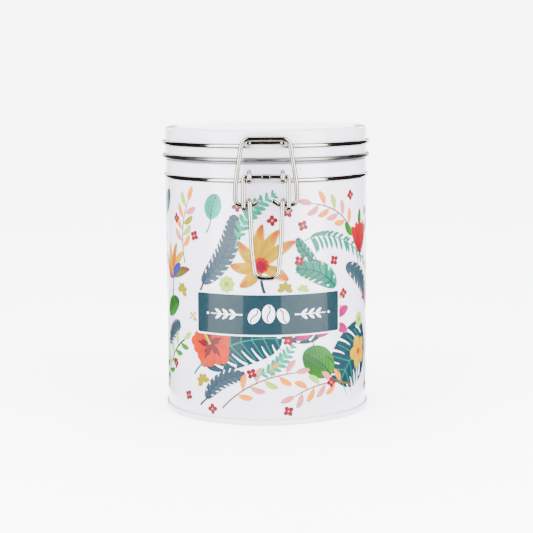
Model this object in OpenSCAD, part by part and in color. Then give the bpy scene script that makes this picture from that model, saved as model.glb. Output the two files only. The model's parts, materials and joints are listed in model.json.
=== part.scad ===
// Clip-top storage tin: a rolled tinplate body with a seamed base, a drawn lid with a silicone
// seal, and a wire closure. Two wires lie in grooves round the body and the lid. The body's wire
// ends in two eyelets at the front and rises to a hinge bar at the back. The lid's wire carries
// a catch at the front and two eyelets round the hinge bar. A lever turns in the body's eyelets
// and its two coils carry the bail, whose top bar holds the lid's catch down.
// The tin's axis is Z, it stands on z = 0, and the closure is on the -Y side.

/* [Body] */
// Outer radius of the body
body_r = 54; // [45:0.5:65]
// Height of the closed tin
tin_h = 152; // [140:1:190]
// Thickness of the tinplate
sheet = 0.4; // [0.3:0.05:0.6]
// Step inwards from the body to the neck
neck_step = 2.6; // [2.4:0.1:3.2]
// Radius of the bead rolled along the neck's edge
lip_bead_r = 0.9; // [0.7:0.1:1.2]

/* [Base] */
// Height of the double seam that holds the base
seam_h = 2.7; // [2:0.1:4]
// How far the seam stands out from the body
seam_out = 1.3; // [0.8:0.1:1.8]
// Radius of the seam's rounded edges
seam_round = 0.55; // [0.3:0.05:0.8]
// Height of the base panel above the table
panel_rise = 3; // [2:0.1:5]

/* [Lid] */
// How far the lid's side stands out from the body
lid_out = 0.2; // [0:0.1:1]
// Height of the closed lid, from the rim's centre to the top
lid_h = 15.3; // [14:0.1:20]
// Radius between the lid's top and side
lid_corner = 2.2; // [1.4:0.1:3]
// Radius of the bead rolled along the lid's edge
rim_bead_r = 1.2; // [1:0.1:1.5]
// Gap between the closed lid's rim and the body's shoulder
rim_gap = 0.7; // [0.4:0.1:1.2]
// Thickness of the seal under the lid
seal_t = 2.3; // [1.5:0.1:3]
// Width of the seal
seal_w = 3.6; // [2.5:0.1:5]
// Gap between the seal and the neck's lip
seal_gap = 0.3; // [0.2:0.05:0.6]
// How far the rim bead's middle stands out from the lid's wall
rim_out = 0.3; // [0.2:0.05:0.5]

/* [Wires] */
// Diameter of all the wires
wire_d = 2.4; // [2:0.1:2.6]
// Gap between a wire and its groove
groove_gap = 0.05; // [0.02:0.01:0.1]
// Gap all round a wire that turns in an eyelet or coil
turn_gap = 0.1; // [0.05:0.01:0.15]
// Radius of most bends, to the wire's centre
bend_r = 1.6; // [1.5:0.05:2]
// Height of the lid's wire above the rim's centre
lid_wire_up = 7; // [6:0.1:9]
// How far the lid wire's centre lies outside the lid's side
lid_wire_out = 0.4; // [0.2:0.05:0.6]
// Depth of the body's wire groove below the closed lid's rim centre
body_wire_down = 10.5; // [9:0.1:14]
// How far the body wire's centre lies inside the body's side
body_wire_in = 0.3; // [0.1:0.05:0.4]

/* [Hinge] */
// Distance of the hinge bar's centre from the body's side
hinge_out = 5.5; // [5:0.1:8]
// Half the length of the hinge bar between its bends
hinge_half = 14; // [12:0.5:20]
// Distance of the lid's hinge eyelets from the middle
hinge_eye_x = 8.5; // [6:0.5:10]
// How far the hinge bar lies below the rim bead's middle
hinge_drop = 0.7; // [0.4:0.1:1.2]

/* [Closure] */
// Distance of the lever's pivot from the body's side
pivot_out = 6.4; // [6:0.1:8]
// Distance of the front eyelets from the middle
eye_x = 8.4; // [7:0.1:9]
// Distance of the lever's upper legs from the middle
lever_leg_x = 11.4; // [11.3:0.1:13]
// Distance between the two strands of a coil, centre to centre
coil_pitch = 3.2; // [2.6:0.1:4]
// Distance from the pivot down to the lever's coils
coil_drop = 14.3; // [12:0.1:17]
// Distance from the coils down to the bend in the handle
handle_drop = 22; // [16:0.5:28]
// Height of the handle's finger end below its bend
finger_drop = 14.5; // [12:0.5:20]
// How far the finger end leans out
finger_out = 3.2; // [1:0.1:5]
// Half the width of the handle at its bend
handle_half = 7.3; // [6.6:0.1:8]
// Half the width of the handle's end, at the corners
finger_half = 5.7; // [5.2:0.1:6.5]
// Distance of the lid's catch bar in front of the lid's side
catch_out = 4; // [3.6:0.1:5]
// Height of the catch bar above the lid's wire
catch_up = 2; // [1.5:0.1:3]
// Half the length of the catch bar, at the corners
catch_x = 8.6; // [7.5:0.1:9]
// Gap between the catch bar and the bail's top bar
catch_gap = 0.3; // [0.3:0.05:0.6]
// Height of the bail's top bar above the catch bar
bail_up = 2.1; // [1.8:0.1:3]
// Half the bail's width at its widest, to the wire's centre
bail_half = 14.95; // [14.5:0.05:17]
// Half the bail's width at its top corners
bail_top_half = 11.8; // [10.6:0.1:13]
// Height of the bail's widest point above the coils
bail_wide_up = 11; // [8:0.5:14]
// Distance of the bail's tips from the middle
tip_x = 3.3; // [2.5:0.1:4]
// Height of the bail's tips above the coils' axis
tip_up = 2; // [1:0.1:2.2]

/* [Hidden] */

wire_r = wire_d / 2;
groove_r = wire_r + groove_gap;
eye_r = wire_d + turn_gap;
lid_r = body_r + lid_out;
neck_r = body_r - neck_step;
seam_r = body_r + seam_out;

rim_z = tin_h - lid_h;
lid_wire_z = rim_z + lid_wire_up;
lid_wire_r = lid_r + lid_wire_out;
body_wire_z = rim_z - body_wire_down;
body_wire_r = body_r - body_wire_in;
rim_r = lid_r + rim_out;
shoulder_z = rim_z - rim_bead_r - rim_gap;
shoulder_round = 1.2;
lip_bead_in = 0.3;
hinge_lean = 1.2;
handle_bend_r = 8;
finger_bend_r = 4.6;
tip_bend_r = 1.3;
tip_clear = 0.5;
foot_bend_r = 3;
foot_flare = 0.35;
side_bend_r = 14;
top_bend_r = 5;
seal_bottom_z = tin_h - sheet - seal_t;
seal_inset = 0.2;
seal_outer_r = lid_r - lid_corner - seal_inset;
lip_top_z = seal_bottom_z - seal_gap;

hinge_y = body_r + hinge_out;
hinge_z = rim_z - hinge_drop;
pivot_y = -body_r - pivot_out;
pivot_z = body_wire_z + eye_r;
coil_y = pivot_y + eye_r;
coil_z = pivot_z - coil_drop;
coil_inner_x = lever_leg_x - coil_pitch;
catch_y = -lid_r - catch_out;
catch_z = lid_wire_z + catch_up;
bail_top_y = catch_y - wire_d - catch_gap;
bail_top_z = catch_z + bail_up;
ferrule_half = 2;
ferrule_wall = 0.2;
collar_swell = 0.03;
collar_half = 0.2;
seam_cut = 0.1;
eye_turn = 300;
crossover_slim = 0.15;

// Facets of a whole turn about the tin's axis, and of a wire's round section
turn_fn = 180;
wire_fn = 40;

function unit(v) = v / norm(v);

// A rigid placement whose columns are three unit axes and an origin
function placement(x, y, z, at) =
    [[x[0], y[0], z[0], at[0]], [x[1], y[1], z[1], at[1]], [x[2], y[2], z[2], at[2]], [0, 0, 0, 1]];

// How far before a corner its bend starts
function setback(a, corner, b, radius) =
    let (turned = acos(unit(corner - a) * unit(b - corner))) radius * tan(turned / 2);

// A straight length of wire
module straight(a, b, r = wire_r) {
    z = unit(b - a);
    side = abs(z[0]) < 0.9 ? [1, 0, 0] : [0, 0, 1];
    x = unit(cross(side, z));
    multmatrix(placement(x, cross(z, x), z, a))
        cylinder(h = norm(b - a), r = r, $fn = wire_fn);
}

// A slight collar where two stretches of wire meet, which covers the seam between them
module collar(at, along) {
    straight(at - unit(along) * collar_half, at + unit(along) * collar_half, wire_r + collar_swell);
}

// Part of a round turn of wire. It starts at a point, in a direction, and curls towards inward.
module curl(start, along, inward, radius, angle) {
    multmatrix(placement(-inward, along, cross(-inward, along), start + inward * radius))
        rotate_extrude(angle = angle, $fn = 120)
            translate([radius, 0]) circle(r = wire_r, $fn = wire_fn);
}

// The rounded corner of a wire that comes from a and goes on to b
module elbow(a, corner, b, radius) {
    before = unit(corner - a);
    after = unit(b - corner);
    start = corner - before * setback(a, corner, b, radius);
    collar(start, before);
    curl(start, before, unit(after - (before * after) * before), radius, acos(before * after));
    collar(corner + after * setback(a, corner, b, radius), after);
}

// A wire through a list of corners, with a bend radius for each inner one
module bent_wire(corners, radii) {
    last = len(corners) - 1;
    for (i = [1 : last - 1])
        elbow(corners[i - 1], corners[i], corners[i + 1], radii[i - 1]);
    for (i = [0 : last - 1]) {
        along = unit(corners[i + 1] - corners[i]);
        from_cut = i == 0 ? 0 : setback(corners[i - 1], corners[i], corners[i + 1], radii[i - 1]);
        to_cut = i == last - 1 ? 0 : setback(corners[i], corners[i + 1], corners[i + 2], radii[i]);
        straight(corners[i] + along * (from_cut + seam_cut),
                 corners[i + 1] - along * (to_cut + seam_cut));
    }
}

// A stretch of a ring round the tin, between two angles from +X
module ring_arc(radius, z, from, to) {
    cut = asin(seam_cut / radius);
    translate([0, 0, z]) rotate([0, 0, from + cut])
        rotate_extrude(angle = to - from - 2 * cut, $fn = turn_fn)
            translate([radius, 0]) circle(r = wire_r, $fn = wire_fn);
}

// Where a ring's wire leaves its circle along a tangent, so that its corner falls at a given x.
// The side is -1 at the front and 1 at the back.
function leave_angle(radius, x) = asin((x + bend_r) / radius);
function leave_point(radius, z, x, side) =
    let (a = leave_angle(radius, x)) [radius * sin(a), side * radius * cos(a), z];
function leave_corner(radius, z, x, side) =
    let (p = leave_point(radius, z, x, side))
        [x, p[1] + side * (p[0] - x) * tan(leave_angle(radius, x)), z];

// A list of corners, followed by their mirror images in reverse
function and_back(list) =
    concat(list, [for (i = [len(list) - 1 : -1 : 0]) [-list[i][0], list[i][1], list[i][2]]]);
function twice_over(list) = concat(list, [for (i = [len(list) - 1 : -1 : 0]) list[i]]);

module mirrored_x() {
    children();
    mirror([1, 0, 0]) children();
}

// Round profile of the sheet where it is pressed in to take a wire
module groove_back(radius, z, wall_r) {
    intersection() {
        translate([radius, z]) circle(r = groove_r + sheet, $fn = 96);
        translate([0, z - 2 * groove_r]) square([wall_r, 4 * groove_r]);
    }
}

module groove_cut(radius, z) {
    translate([radius, z]) circle(r = groove_r, $fn = 96);
}

// A quarter of a bent sheet, with its hollow side towards the axis and down
module sheet_corner(outer_r, top_z, radius) {
    translate([outer_r - radius, top_z - radius])
        intersection() {
            difference() {
                circle(r = radius, $fn = 96);
                circle(r = radius - sheet, $fn = 96);
            }
            square(radius);
        }
}

module body_wall() {
    color("white")
        rotate_extrude($fn = turn_fn) {
            difference() {
                union() {
                    translate([body_r - sheet, seam_round])
                        square([sheet, shoulder_z - shoulder_round - seam_round]);
                    groove_back(body_wire_r, body_wire_z, body_r);
                }
                groove_cut(body_wire_r, body_wire_z);
            }
            sheet_corner(body_r, shoulder_z, shoulder_round);
            translate([neck_r - sheet, shoulder_z - sheet])
                square([body_r - shoulder_round - neck_r + sheet, sheet]);
            translate([neck_r - sheet, shoulder_z - sheet])
                square([sheet, lip_top_z - lip_bead_r - shoulder_z + sheet]);
            translate([neck_r - sheet / 2 - lip_bead_in, lip_top_z - lip_bead_r])
                circle(r = lip_bead_r, $fn = 96);
        }
}

module base_plate() {
    inner_r = body_r - sheet - seam_out;
    color("white")
        rotate_extrude($fn = turn_fn)
            difference() {
                union() {
                    translate([0, panel_rise]) square([body_r - sheet, sheet]);
                    translate([inner_r, seam_round]) square([body_r - sheet - inner_r, panel_rise]);
                    translate([inner_r + seam_round, 0])
                        square([seam_r - inner_r - 2 * seam_round, seam_h]);
                    translate([inner_r, seam_round])
                        square([seam_r - inner_r, seam_h - 2 * seam_round]);
                    for (x = [inner_r + seam_round, seam_r - seam_round])
                        translate([x, seam_round]) circle(r = seam_round, $fn = 96);
                    translate([seam_r - seam_round, seam_h - seam_round])
                        circle(r = seam_round, $fn = 96);
                }
                translate([body_r - sheet, seam_round]) square([sheet, seam_h]);
            }
}

module body_wire() {
    start = leave_point(body_wire_r, body_wire_z, eye_x, -1);
    corner = leave_corner(body_wire_r, body_wire_z, eye_x, -1);
    eye_start = [eye_x, pivot_y, body_wire_z];
    turned = leave_angle(body_wire_r, eye_x);
    color("silver") {
        ring_arc(body_wire_r, body_wire_z, turned - 90, 270 - turned);
        mirrored_x() {
            collar(start, corner - start);
            bent_wire([start, corner, eye_start], [bend_r]);
            collar(eye_start, [0, -1, 0]);
            curl(eye_start, [0, -1, 0], [0, 0, 1], eye_r, eye_turn);
        }
    }
}

// The hinge bar's wire, whose feet are cut to the body's wire and welded to it
module hinge_wire() {
    weld = [hinge_half, body_wire_r * cos(asin(hinge_half / body_wire_r)), body_wire_z];
    foot = [hinge_half, hinge_y - hinge_lean, body_wire_z];
    top = [hinge_half, hinge_y, hinge_z];
    color("silver")
        difference() {
            bent_wire(and_back([weld, foot, top]), twice_over([2 * bend_r, bend_r]));
            rotate([0, 0, 60]) ring_arc(body_wire_r, body_wire_z, 0, 60);
        }
}

module lid_shell() {
    side_top = tin_h - lid_corner;
    color("white")
        rotate_extrude($fn = turn_fn) {
            translate([0, tin_h - sheet]) square([lid_r - lid_corner, sheet]);
            sheet_corner(lid_r, tin_h, lid_corner);
            difference() {
                union() {
                    translate([lid_r - sheet, rim_z]) square([sheet, side_top - rim_z]);
                    groove_back(lid_wire_r, lid_wire_z, lid_r);
                }
                groove_cut(lid_wire_r, lid_wire_z);
            }
        }
}

module lid_rim() {
    color("silver")
        rotate_extrude($fn = turn_fn)
            difference() {
                translate([rim_r, rim_z]) circle(r = rim_bead_r, $fn = 96);
                translate([lid_r - sheet, rim_z]) square([sheet, 2 * rim_bead_r]);
            }
}

module lid_gasket() {
    color("gainsboro")
        rotate_extrude($fn = turn_fn)
            translate([seal_outer_r - seal_w, seal_bottom_z]) square([seal_w, seal_t]);
}

module lid_wire() {
    front_start = leave_point(lid_wire_r, lid_wire_z, catch_x, -1);
    front_corner = leave_corner(lid_wire_r, lid_wire_z, catch_x, -1);
    rear_start = leave_point(lid_wire_r, lid_wire_z, hinge_eye_x, 1);
    rear_corner = leave_corner(lid_wire_r, lid_wire_z, hinge_eye_x, 1);
    eye_start = [hinge_eye_x, hinge_y + eye_r, hinge_z];
    eye_top = [hinge_eye_x, hinge_y + eye_r, lid_wire_z];
    color("silver") {
        mirrored_x() {
            ring_arc(lid_wire_r, lid_wire_z, leave_angle(lid_wire_r, catch_x) - 90,
                     90 - leave_angle(lid_wire_r, hinge_eye_x));
            collar(front_start, front_corner - front_start);
            collar(rear_start, rear_corner - rear_start);
            bent_wire([rear_start, rear_corner, eye_top, eye_start], [bend_r, 2 * bend_r]);
            collar(eye_start, [0, 0, -1]);
            curl(eye_start, [0, 0, -1], [0, -1, 0], eye_r, eye_turn);
        }
        bent_wire(and_back([front_start, front_corner, [catch_x, catch_y, catch_z]]),
                  twice_over([bend_r, bend_r]));
    }
}

// The lever's upper half: the pivot bar, its two legs and the outer strands of the coils
module lever_yoke() {
    leg_foot = [lever_leg_x, pivot_y, coil_z];
    color("silver") {
        bent_wire(and_back([leg_foot, [lever_leg_x, pivot_y, pivot_z]]), twice_over([bend_r]));
        mirrored_x() {
            collar(leg_foot, [0, 0, -1]);
            curl(leg_foot, [0, 0, -1], [0, 1, 0], eye_r, eye_turn);
        }
    }
}

// The lever's lower half: the inner strands of the coils, the crossovers and the handle
module lever_handle() {
    handle_top = [coil_inner_x, pivot_y, coil_z];
    bend = [handle_half, pivot_y, coil_z - handle_drop];
    end = [finger_half, pivot_y - finger_out, coil_z - handle_drop - finger_drop];
    coil_back = [coil_inner_x, coil_y + eye_r, coil_z];
    color("silver") {
        bent_wire(and_back([handle_top, bend, end]), twice_over([handle_bend_r, finger_bend_r]));
        mirrored_x() {
            collar(handle_top, handle_top - bend);
            curl(handle_top, unit(handle_top - bend), [0, 1, 0], eye_r, eye_turn);
            straight(coil_back, coil_back + [coil_pitch - wire_r, 0, 0], wire_r - crossover_slim);
        }
    }
}

module lever_ferrule() {
    color("lightgray")
        translate([-ferrule_half, pivot_y, pivot_z]) rotate([0, 90, 0])
            difference() {
                cylinder(h = 2 * ferrule_half, r = wire_r + ferrule_wall, $fn = wire_fn);
                translate([0, 0, -1]) cylinder(h = 2 * ferrule_half + 2, r = wire_r, $fn = wire_fn);
            }
}

module bail() {
    foot = [0, coil_y, coil_z];
    top = [0, bail_top_y, bail_top_z];
    up = unit(top - foot);
    side = [1, 0, 0];
    color("silver")
        bent_wire(and_back([foot + side * tip_x + up * tip_up,
                            foot + side * (coil_inner_x - wire_r - tip_clear),
                            foot + side * (bail_half + foot_flare),
                            foot + side * bail_half + up * bail_wide_up,
                            top + side * bail_top_half]),
                  twice_over([tip_bend_r, foot_bend_r, side_bend_r, top_bend_r]));
}

body_wall();
base_plate();
body_wire();
hinge_wire();
lid_shell();
lid_rim();
lid_gasket();
lid_wire();
lever_yoke();
lever_handle();
lever_ferrule();
bail();
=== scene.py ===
"""Looks for a clip-top storage tin: white enamel with a printed plant pattern, a label band, a bare
rolled rim and a polished wire closure, on a pale studio floor."""

import json
import math

import bmesh
import bpy
import numpy as np
from bpy.props import FloatProperty, FloatVectorProperty, IntProperty, PointerProperty
from mathutils import Matrix, Vector


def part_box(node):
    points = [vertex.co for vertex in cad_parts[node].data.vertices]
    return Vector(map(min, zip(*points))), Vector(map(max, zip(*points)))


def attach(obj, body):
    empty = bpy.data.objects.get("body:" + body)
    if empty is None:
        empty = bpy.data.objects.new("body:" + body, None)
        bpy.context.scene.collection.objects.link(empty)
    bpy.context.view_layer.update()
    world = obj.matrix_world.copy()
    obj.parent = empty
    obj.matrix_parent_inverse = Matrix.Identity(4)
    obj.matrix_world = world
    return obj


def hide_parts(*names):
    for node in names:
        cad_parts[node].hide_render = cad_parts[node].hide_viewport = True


bl_info = {
    "name": "Clip-top tin",
    "version": (1, 0, 0),
    "blender": (4, 5, 0),
    "location": "View3D > Sidebar > Tin",
    "description": "Builds the finishes, wires, print and stage of a clip-top storage tin",
    "category": "Object",
}

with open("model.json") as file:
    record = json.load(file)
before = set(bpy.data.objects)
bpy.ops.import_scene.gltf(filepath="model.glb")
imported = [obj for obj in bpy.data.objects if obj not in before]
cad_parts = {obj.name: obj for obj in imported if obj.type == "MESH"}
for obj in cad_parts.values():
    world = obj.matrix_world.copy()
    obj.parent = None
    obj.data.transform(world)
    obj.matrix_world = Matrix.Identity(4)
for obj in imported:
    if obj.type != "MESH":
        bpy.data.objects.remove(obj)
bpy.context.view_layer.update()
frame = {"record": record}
MM = 0.001


def joint_place(name):
    """The place of a named joint, in millimetres."""
    stated = frame["record"]["behaviour"]["joints"]
    return np.array(next(j["pos_m"] for j in stated if j["name"] == name)) / MM


def node_box(name):
    """A node's lowest and highest corners, in millimetres."""
    low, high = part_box(name)
    return np.array(low) / MM, np.array(high) / MM


# ---- Sizes and places, in millimetres ---------------------------------------------------------

# Wires
WIRE_R = 1.2
BEND_R = 1.6
EYE_R = 2.5
EYE_TURN = math.radians(300)
EYE_X, HINGE_EYE_X, CATCH_X, HINGE_HALF = 8.4, 8.5, 8.6, 14.0
HINGE_LEAN = 1.2
LEG_X, COIL_X = 11.4, 8.2
HANDLE_HALF, FINGER_HALF, HANDLE_DROP = 7.3, 5.7, 22.0
HANDLE_BENDS = [8.0, 4.6]
BAIL_TIP_X, BAIL_TIP_UP, BAIL_FOOT_X, BAIL_TOP_X = 3.3, 2.0, 6.5, 11.8
BAIL_FLARE, BAIL_SWELL, BAIL_SWELL_UP = 0.36, 0.01, 11.0
BAIL_BENDS = [1.3, 3.0, 14.0, 5.0]
FERRULE_HALF, FERRULE_WALL = 2.0, 0.2

# Sheet metal and seal
SHEET = 0.4
GROOVE_R = 1.25
NECK_STEP = 2.6
SHOULDER_ROUND, SHOULDER_GAP = 1.2, 0.7
LIP_R, LIP_IN, LIP_CURL = 0.9, 0.3, (-56.2, 276.4)
RIM_R, RIM_CURL = 1.2, (0, 345)
SEAM_ROUND, SEAM_TOP, SEAM_WIDTH = 0.55, 2.7, 1.3
FLOOR_RISE, FLOOR_ROUND, FLOOR_CORNER = 3.0, 0.4, 0.15
LID_CORNER = 2.2
LID_WIRE_UP = 7.0
SEAL_WIDTH, SEAL_ROUND = 3.6, 0.4

# From the frame
TIN_R = node_box("body_wall")[1][0]
LID_OUTER_R, _, TOP_Z = node_box("lid_shell")[1]
RIM_Z = float(np.mean([corner[2] for corner in node_box("lid_rim")]))
BODY_RING_R = node_box("body_wire")[1][0] - WIRE_R
BODY_RING_Z = node_box("body_wire")[0][2] + WIRE_R
LID_RING_R = node_box("lid_wire")[1][0] - WIRE_R
LID_RING_Z = RIM_Z + LID_WIRE_UP
HINGE_AT, PIVOT_AT, COIL_AT = map(joint_place, ("lid_hinge", "lever_pivot", "bail_pivot"))

# Across the middle plane
ACROSS = np.array([-1.0, 1.0, 1.0])


# ---- Properties -------------------------------------------------------------------------------


class TinWireSettings(bpy.types.PropertyGroup):
    """Sizes of the closure's wires."""

    radius: FloatProperty(
        name="Wire radius", description="Radius of every closure wire", default=WIRE_R * MM,
        unit="LENGTH", precision=5)
    sides: IntProperty(
        name="Sides", description="Faces round a wire", default=24, min=12, max=48)


class TinPrintSettings(bpy.types.PropertyGroup):
    """Sizes of the printed pattern and the label band."""

    ink: FloatProperty(
        name="Ink layer", description="Thickness of one layer of ink", default=0.022 * MM,
        unit="LENGTH", precision=6)
    repeats: IntProperty(
        name="Repeats", description="How often the pattern repeats round the tin", default=2,
        min=1, max=3)
    label_low: FloatProperty(
        name="Label foot", description="Height of the label band's lower edge",
        default=47.2 * MM, unit="LENGTH", precision=5)
    label_high: FloatProperty(
        name="Label top", description="Height of the label band's upper edge",
        default=67.9 * MM, unit="LENGTH", precision=5)
    label_half: FloatProperty(
        name="Label half angle", description="Half the label band's angle about the axis",
        default=math.radians(42.1), subtype="ANGLE")
    label_turn: FloatProperty(
        name="Label turn", description="Angle of the label's middle from the front",
        default=math.radians(1.0), subtype="ANGLE")
    border: FloatProperty(
        name="Label border", description="Width of the label's white border",
        default=0.8 * MM, unit="LENGTH", precision=5)


class TinColours(bpy.types.PropertyGroup):
    """Colours of the finishes, as linear light."""

    enamel: FloatVectorProperty(
        name="Enamel", description="White enamel on the tin", default=(0.42, 0.40, 0.485),
        size=3, subtype="COLOR")
    lid: FloatVectorProperty(
        name="Lid enamel", description="White enamel on the lid", default=(0.415, 0.405, 0.465),
        size=3, subtype="COLOR")
    wire: FloatVectorProperty(
        name="Wire", description="Polished steel wire", default=(0.34, 0.315, 0.27),
        size=3, subtype="COLOR")
    rim: FloatVectorProperty(
        name="Rim", description="Bare rolled rim", default=(0.19, 0.19, 0.18),
        size=3, subtype="COLOR")
    label: FloatVectorProperty(
        name="Label", description="Label band", default=(0.0050, 0.0140, 0.0190),
        size=3, subtype="COLOR")
    floor: FloatVectorProperty(
        name="Floor", description="Studio floor", default=(0.97, 0.97, 0.97),
        size=3, subtype="COLOR")


class TinStageSettings(bpy.types.PropertyGroup):
    """Where the camera and the lights stand."""

    distance: FloatProperty(
        name="Camera distance", description="Camera's distance in front of the tin's axis",
        default=0.7963, unit="LENGTH")
    height: FloatProperty(
        name="Camera height", description="Camera's height above the floor", default=0.1825,
        unit="LENGTH")
    pitch: FloatProperty(
        name="Camera pitch", description="How far the camera looks down",
        default=math.radians(7.664), subtype="ANGLE")
    roll: FloatProperty(
        name="Camera roll", description="How far the camera leans", default=math.radians(-0.35),
        subtype="ANGLE")
    lens: FloatProperty(
        name="Lens", description="Focal length in millimetres", default=99.5,
        unit="CAMERA")
    key: FloatProperty(
        name="Softbox power", description="Watts of each softbox", default=8.0, unit="POWER")
    top: FloatProperty(
        name="Top light power", description="Watts of the top light", default=9.0, unit="POWER")
    room: FloatProperty(
        name="Room light", description="Strength of the even light from all round", default=7.5,
        min=0.0)


# ---- Materials --------------------------------------------------------------------------------


class Finish:
    """A material in the making: a Principled shader, some values on its own sockets, and noises
    that drive others."""

    def __init__(self, name, values):
        self.material = bpy.data.materials.new(name)
        self.material.use_nodes = True
        self.nodes, self.link = self.material.node_tree.nodes, self.material.node_tree.links.new
        self.inputs = self.nodes["Principled BSDF"].inputs
        for socket, value in values.items():
            self.inputs[socket].default_value = value

    def noise(self, scale, detail=3.0, roughness=0.5, stretch=(1, 1, 1), coords="Object"):
        """A noise's value, on one kind of coordinates stretched along their axes."""
        mapping = self.nodes.new("ShaderNodeMapping")
        mapping.inputs["Scale"].default_value = stretch
        texture = self.nodes.new("ShaderNodeTexNoise")
        for socket, value in (("Scale", scale), ("Detail", detail), ("Roughness", roughness)):
            texture.inputs[socket].default_value = value
        self.link(self.nodes.new("ShaderNodeTexCoord").outputs[coords], mapping.inputs["Vector"])
        self.link(mapping.outputs["Vector"], texture.inputs["Vector"])
        return texture.outputs["Fac"]

    def ramp(self, value, low, high, start=0.3, end=0.7):
        """A noise's value turned into a blend between two values or colours."""
        node = self.nodes.new("ShaderNodeValToRGB")
        for element, place, shade in zip(node.color_ramp.elements, (start, end), (low, high)):
            element.position = place
            element.color = (*shade, 1) if isinstance(shade, tuple) else (shade, shade, shade, 1)
        self.link(value, node.inputs["Fac"])
        return node.outputs["Color"]

    def tint(self, value, colour, share):
        """Base colour between a share of a colour and the colour itself."""
        blend = self.ramp(value, tuple(share * c for c in colour), tuple(colour))
        self.link(blend, self.inputs["Base Color"])

    def gloss(self, value, low, high):
        """Roughness between two values."""
        self.link(self.ramp(value, low, high), self.inputs["Roughness"])

    def bump(self, height, strength, distance):
        """A fine relief in the surface, its distance in metres."""
        node = self.nodes.new("ShaderNodeBump")
        node.inputs["Strength"].default_value = strength
        node.inputs["Distance"].default_value = distance
        self.link(height, node.inputs["Height"])
        self.link(node.outputs["Normal"], self.inputs["Normal"])


def enamel_material(name, colour):
    """Glossy stoved enamel on sheet metal: a faint mottle in colour and gloss, and a very slight
    orange-peel ripple under a clear coat."""
    enamel = Finish(name, {"Coat Weight": 0.35, "Coat Roughness": 0.06, "IOR": 1.5})
    enamel.tint(enamel.noise(60.0), colour, 0.972)
    enamel.gloss(enamel.noise(220.0), 0.20, 0.27)
    enamel.bump(enamel.noise(900.0, 2.0), 0.04, 0.0002)
    return enamel.material


def wire_material(name, colour):
    """Polished drawn steel: clean metal with a slight change of gloss and fine drawing marks."""
    steel = Finish(name, {"Metallic": 1.0})
    steel.tint(steel.noise(130.0, 4.0), colour, 0.88)
    steel.gloss(steel.noise(420.0, 5.0, 0.7), 0.06, 0.15)
    steel.bump(steel.noise(1500.0, 2.0), 0.05, 0.0001)
    return steel.material


def rim_material(name, colour):
    """Bare tinplate rolled into a bead: satin metal with streaks that run round the tin."""
    plate = Finish(name, {"Metallic": 1.0})
    streaks = plate.noise(60.0, 5.0, 0.65, (1, 1, 60))
    plate.tint(streaks, colour, 0.78)
    plate.gloss(streaks, 0.22, 0.36)
    plate.bump(streaks, 0.06, 0.0002)
    return plate.material


def seal_material(name):
    """Matt, slightly translucent white silicone with a dusty bloom."""
    silicone = Finish(name, {"Roughness": 0.55, "Subsurface Weight": 0.15,
                             "Subsurface Scale": 0.002})
    bloom = silicone.noise(300.0, 4.0)
    silicone.link(silicone.ramp(bloom, (0.74, 0.74, 0.73), (0.84, 0.84, 0.83)),
                  silicone.inputs["Base Color"])
    silicone.bump(bloom, 0.1, 0.0003)
    return silicone.material


def ink_material(name):
    """Printed ink under varnish: each motif's own colour with a painted, streaky variation that
    runs along the leaf or petal, read from its UV map."""
    ink = Finish(name, {"Roughness": 0.3, "Specular IOR Level": 0.1, "Coat Weight": 0.12,
                        "Coat Roughness": 0.06})
    own = ink.nodes.new("ShaderNodeVertexColor")
    own.layer_name = "ink"
    streaks = ink.noise(2.2, 4.0, 0.5, (1.5, 9.0, 1.0), "UV")
    mix = ink.nodes.new("ShaderNodeMix")
    mix.data_type, mix.blend_type = "RGBA", "MULTIPLY"
    mix.inputs["Factor"].default_value = 0.8
    ink.link(own.outputs["Color"], mix.inputs["A"])
    ink.link(ink.ramp(streaks, 0.80, 1.12, 0.32, 0.68), mix.inputs["B"])
    ink.link(mix.outputs["Result"], ink.inputs["Base Color"])
    return ink.material


def label_material(name, colour):
    """Glossy label ink, with a faint roller mottle under a clear varnish."""
    label = Finish(name, {"Roughness": 0.22, "Specular IOR Level": 0.05, "Coat Weight": 0.22,
                          "Coat Roughness": 0.03})
    label.tint(label.noise(90.0, 4.0), colour, 0.93)
    label.bump(label.noise(700.0, 2.0), 0.03, 0.0001)
    return label.material


def floor_material(name, colour):
    """Matt white studio paper with a barely visible tooth."""
    paper = Finish(name, {"Roughness": 0.9, "Specular IOR Level": 0.1})
    paper.tint(paper.noise(40.0, 5.0), colour, 0.99)
    return paper.material


def card_material(name):
    """Black card with no gloss."""
    black = (0.005, 0.005, 0.005, 1)
    return Finish(name, {"Base Color": black, "Specular IOR Level": 0.0}).material


# ---- Surfaces ---------------------------------------------------------------------------------


def grid_faces(rows, columns, close_rows=False, close_columns=False):
    """Quads of a grid whose point (i, j) is number i * columns + j. A closed direction joins its
    last line to its first."""
    i = np.arange(rows if close_rows else rows - 1)[:, None]
    j = np.arange(columns if close_columns else columns - 1)[None, :]
    above, beside = (i + 1) % rows, (j + 1) % columns
    corners = (i * columns + j, above * columns + j, above * columns + beside, i * columns + beside)
    return np.stack(np.broadcast_arrays(*corners), axis=-1).reshape(-1, 4)


def add_piece(name, mesh, material, body=None, nodes=()):
    """Links a mesh as a finished object with its finish, parents it to its body and hides the CAD
    nodes that it replaces.
    """
    mesh.materials.append(material)
    piece = bpy.data.objects.new(name, mesh)
    bpy.context.scene.collection.objects.link(piece)
    if body:
        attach(piece, body)
    if nodes:
        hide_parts(*nodes)
    return piece


def round_axis(r, z, turn):
    """Places round the tin's axis, turn counted from the front: x = r sin turn, y = -r cos turn."""
    return np.stack(np.broadcast_arrays(r * np.sin(turn), -r * np.cos(turn), z), axis=-1)


def plain_mesh(name, points, faces):
    """A mesh of points in millimetres."""
    mesh = bpy.data.meshes.new(name)
    mesh.from_pydata((points.reshape(-1, 3) * MM).tolist(), [], faces.reshape(-1, 4).tolist())
    return mesh


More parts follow.
